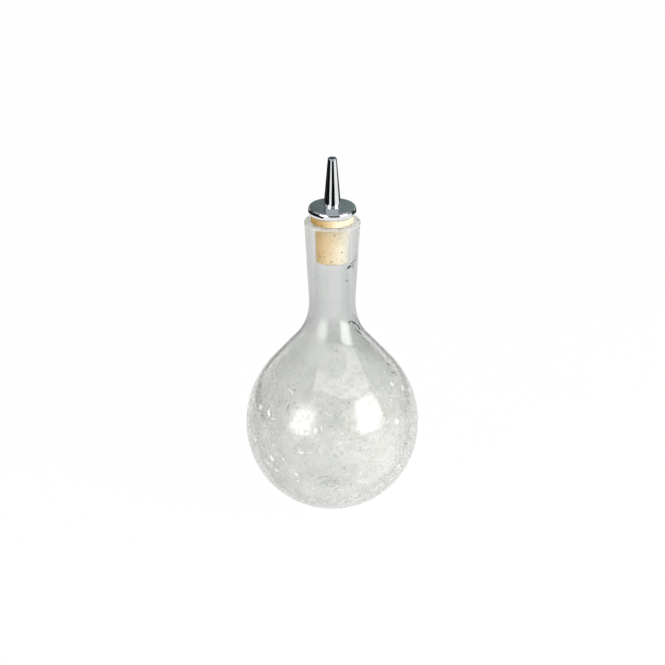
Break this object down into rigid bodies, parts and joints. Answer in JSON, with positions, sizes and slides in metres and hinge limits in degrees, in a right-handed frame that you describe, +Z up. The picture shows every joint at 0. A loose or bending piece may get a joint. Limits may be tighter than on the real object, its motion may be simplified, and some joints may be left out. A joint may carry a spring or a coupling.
{
  "type": "bitters bottle",
  "caption": "Globe-shaped crackle glass bitters bottle with a pushed-up base and a slightly flared neck, closed by a stepped cork that carries a chromed dasher spout.",
  "frame": {"origin": "middle of the resting ring, on the surface the bottle stands on", "axes": "+Z up along the bottle's own axis, towards the spout's tip; the part is round, so +X and +Y are any two level directions"},
  "size_m": [0.075, 0.075, 0.1582],
  "materials": {
    "crackle_glass": "clear, smooth outside with fine cracks in the wall",
    "cork": "natural cork, sanded, with small pores",
    "chromed_metal": "polished, satin on top of the cap",
    "stem_metal": "plain drawn and stamped",
    "white_plastic": "moulded, matt"
  },
  "bodies": {
    "bottle": {"glass_bowl": "crackle_glass", "glass_shoulder": "crackle_glass", "glass_neck": "crackle_glass"},
    "cork": {"cork_stopper": "cork"},
    "spout": {"pour_spout": "chromed_metal", "dasher_cap": "chromed_metal", "stem_tube": "stem_metal", "stem_washer": "stem_metal", "dash_restrictor": "white_plastic"}
  },
  "joints": [
    {"name": "stopper_lift", "type": "slide", "parent": "bottle", "child": "cork", "axis": [0, 0, 1], "range_m": [0, 0.045]},
    {"name": "spout_turn", "type": "hinge", "parent": "cork", "child": "spout", "pos_m": [0, 0, 0.1336], "axis": [0, 0, 1], "continuous": true}
  ]
}
